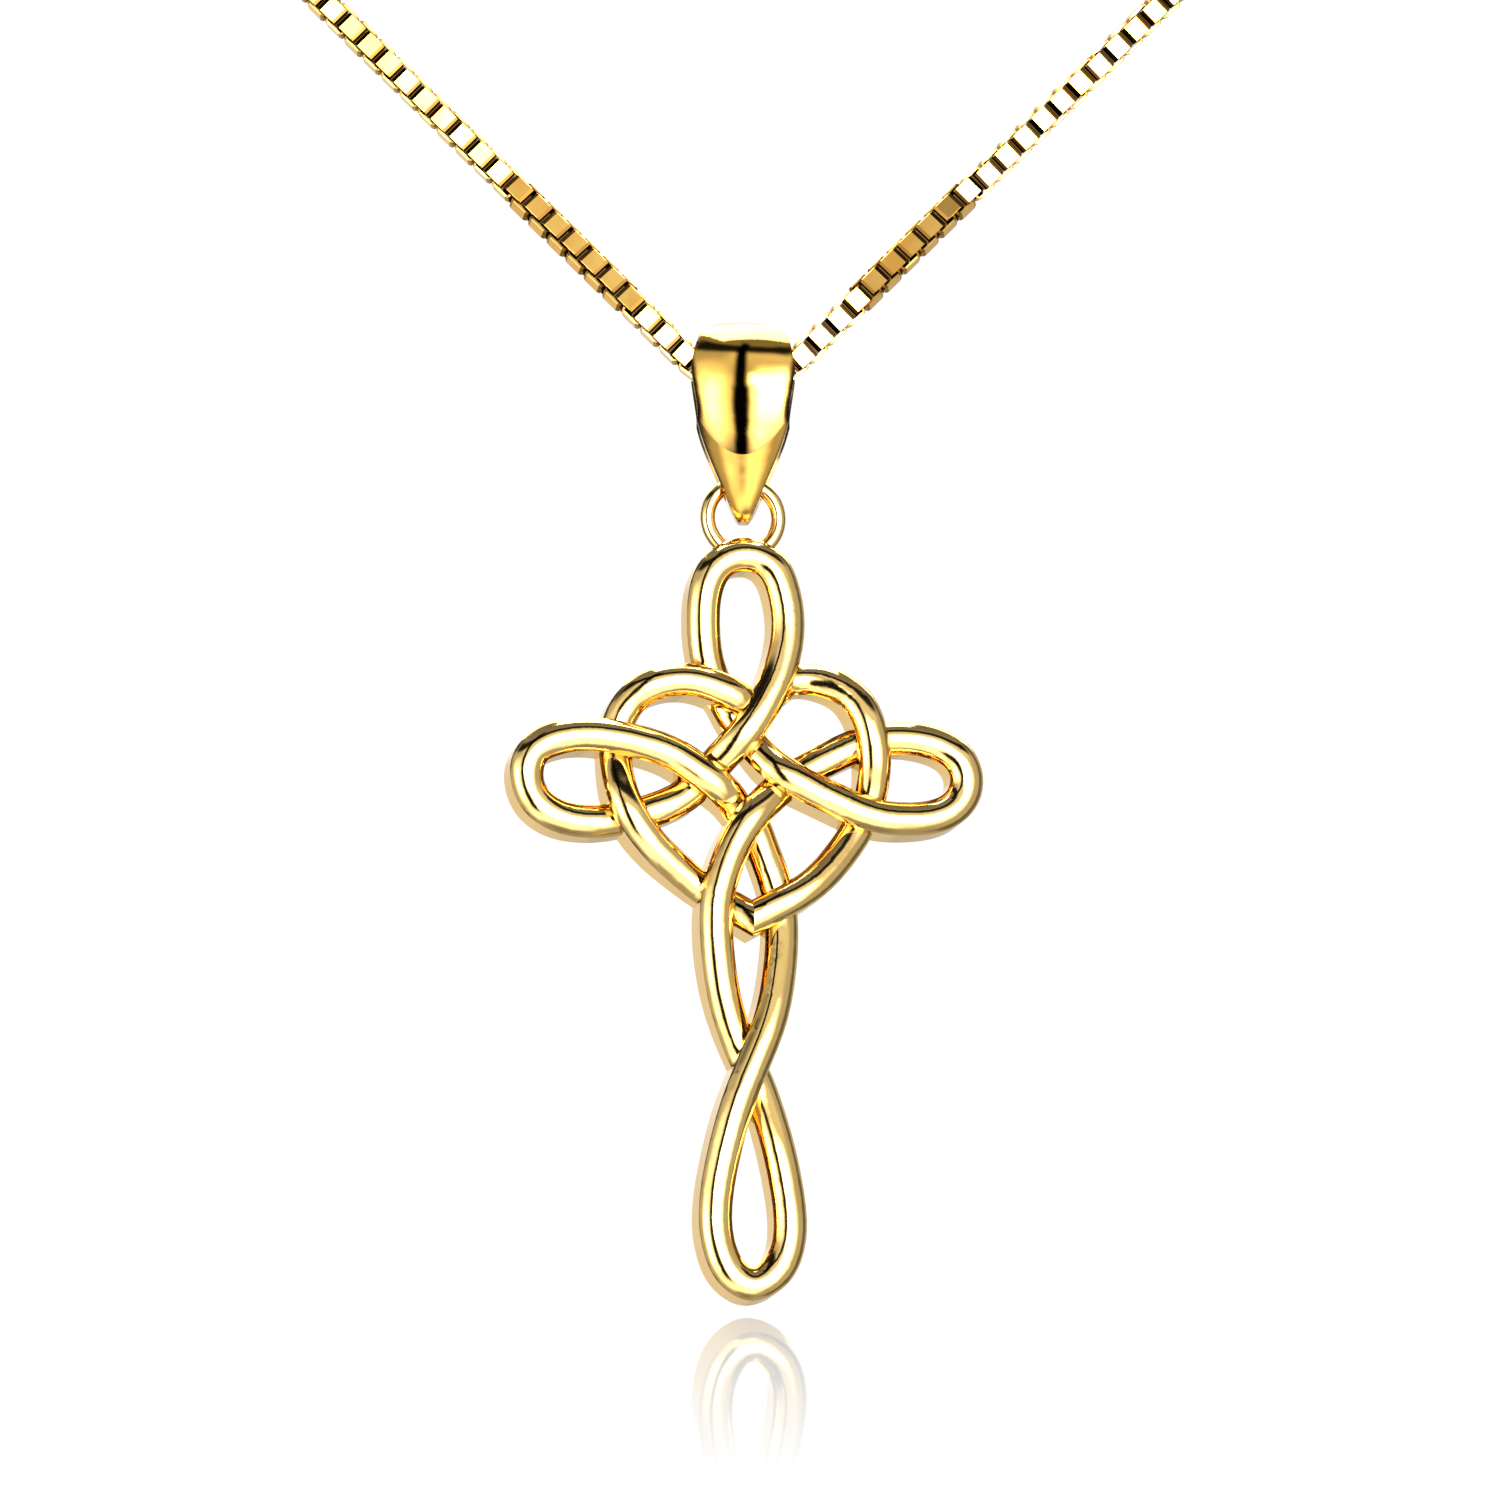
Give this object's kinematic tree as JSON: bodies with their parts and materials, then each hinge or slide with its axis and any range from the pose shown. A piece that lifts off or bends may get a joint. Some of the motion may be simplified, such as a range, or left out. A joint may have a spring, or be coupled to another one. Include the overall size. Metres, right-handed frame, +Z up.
{
  "type": "pendant necklace",
  "caption": "Openwork knot cross of interlaced cord with a heart, hung by a folded leaf bail on a fine box chain closed in a loop.",
  "frame": {"origin": "where the middle of the loop rests on the back of the neck, on the neck's side of the clasp", "axes": "+Z up as worn, +X to the right of a viewer who faces the pendant, -Y the way the bail faces; the cross hangs turned 10.5 degrees from it toward +X, as in the picture"},
  "size_m": [0.1184, 0.1215, 0.1341],
  "materials": {
    "cross_gold": "polished pale yellow gold plate over cast silver",
    "bail_gold": "mirror polished yellow gold plate over silver",
    "chain_gold": "polished deeper yellow gold plate over silver"
  },
  "bodies": {
    "chain": {"chain": "chain_gold", "clasp": "chain_gold"},
    "bail": {"bail": "bail_gold"},
    "cross": {"knot_cross": "cross_gold"}
  },
  "joints": [
    {"name": "bail_swing", "type": "hinge", "parent": "chain", "child": "bail", "pos_m": [0, -0.11653, -0.10112], "axis": [1, 0, 0], "range_deg": [-60, 60]},
    {"name": "cross_swing", "type": "hinge", "parent": "bail", "child": "cross", "pos_m": [0, -0.11653, -0.10453], "axis": [0.9833, 0.1822, 0], "range_deg": [-22, 22]}
  ]
}
